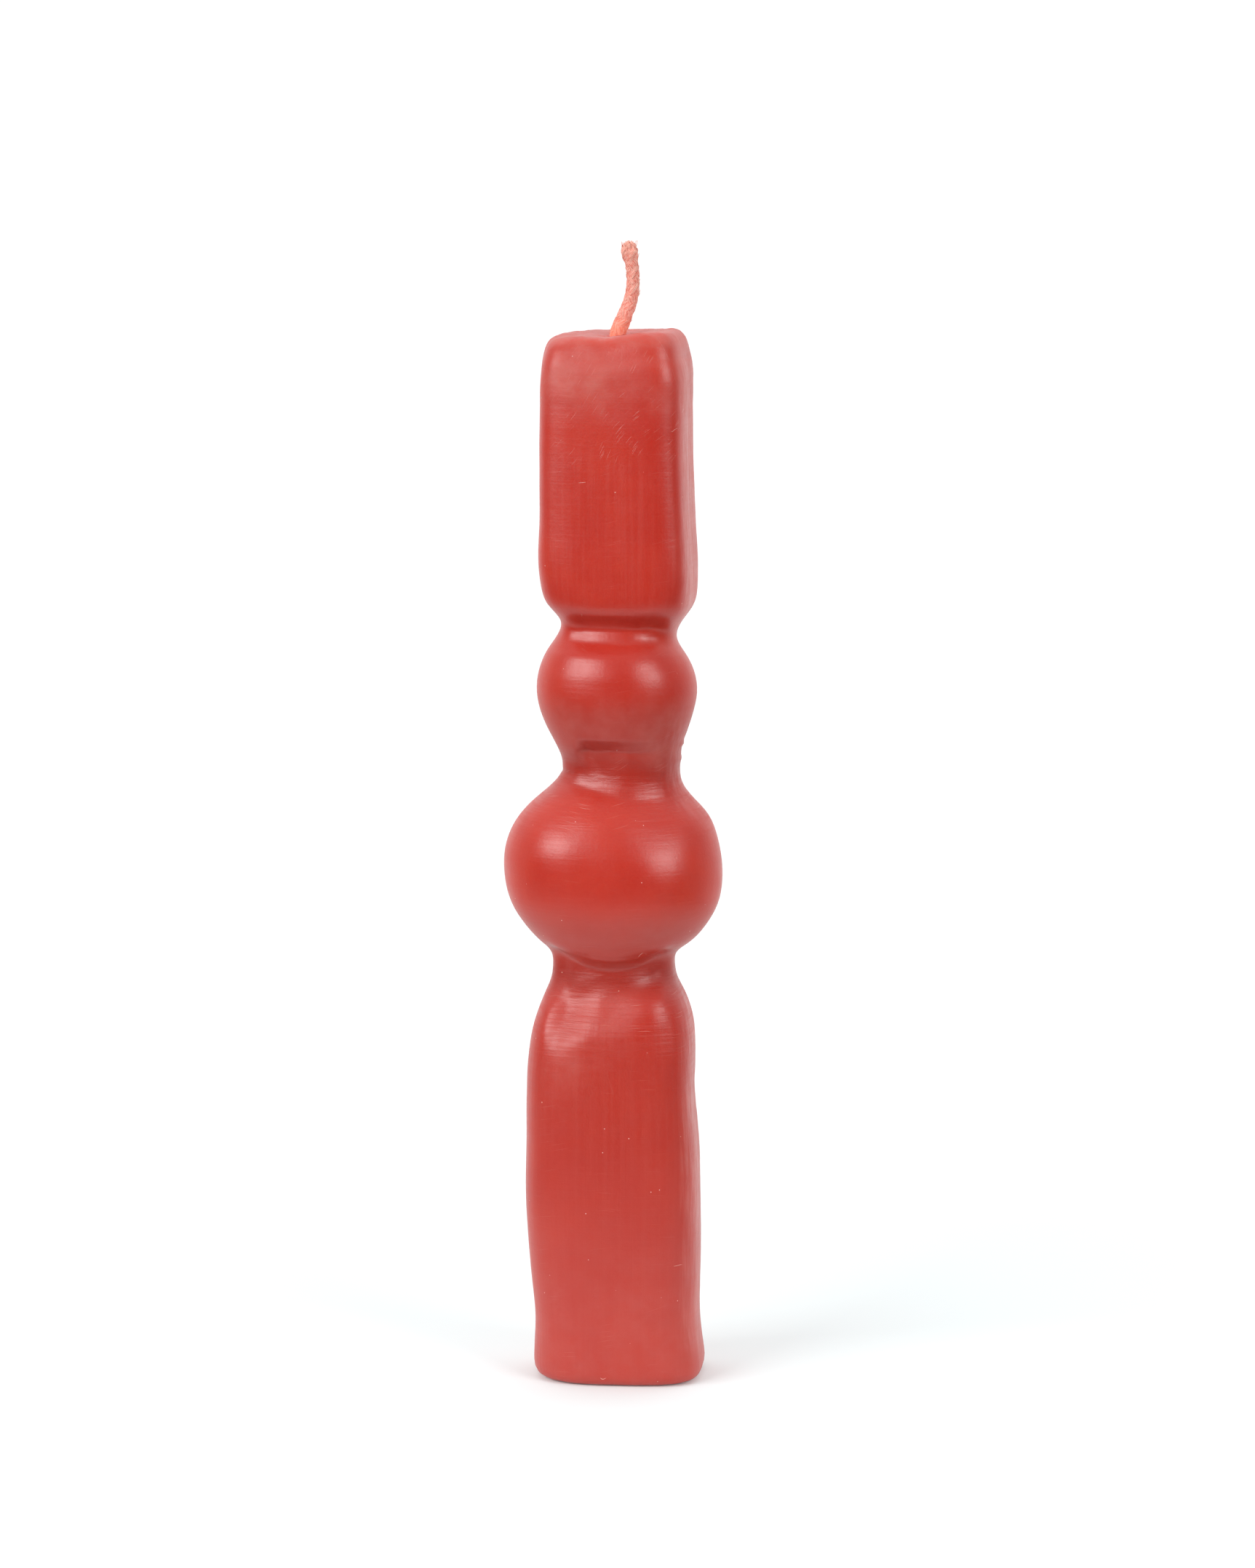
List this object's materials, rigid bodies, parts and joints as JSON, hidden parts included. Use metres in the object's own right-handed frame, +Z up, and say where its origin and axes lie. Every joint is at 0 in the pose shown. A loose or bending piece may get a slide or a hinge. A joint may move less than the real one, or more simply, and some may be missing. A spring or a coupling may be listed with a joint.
{
  "type": "pillar candle",
  "caption": "Solid wax column candle hand-shaped into a block, a bead, a bulb and a column, with a braided cotton wick, standing on its flat base.",
  "frame": {"origin": "in the plane the candle stands on, under the middle of its overall width and depth", "axes": "+Z up along the wick, +X to the candle's right, and the broad front face looks along -Y"},
  "size_m": [0.0479, 0.038, 0.2495],
  "materials": {
    "red_wax": "satin",
    "wick_cotton": "matte"
  },
  "bodies": {
    "root": {"wax_body": "red_wax", "wick_yarn_1": "wick_cotton", "wick_yarn_2": "wick_cotton", "wick_yarn_3": "wick_cotton", "wick_yarn_4": "wick_cotton", "wick_yarn_5": "wick_cotton", "wick_yarn_6": "wick_cotton", "wick_yarn_7": "wick_cotton", "wick_yarn_8": "wick_cotton"}
  },
  "joints": []
}
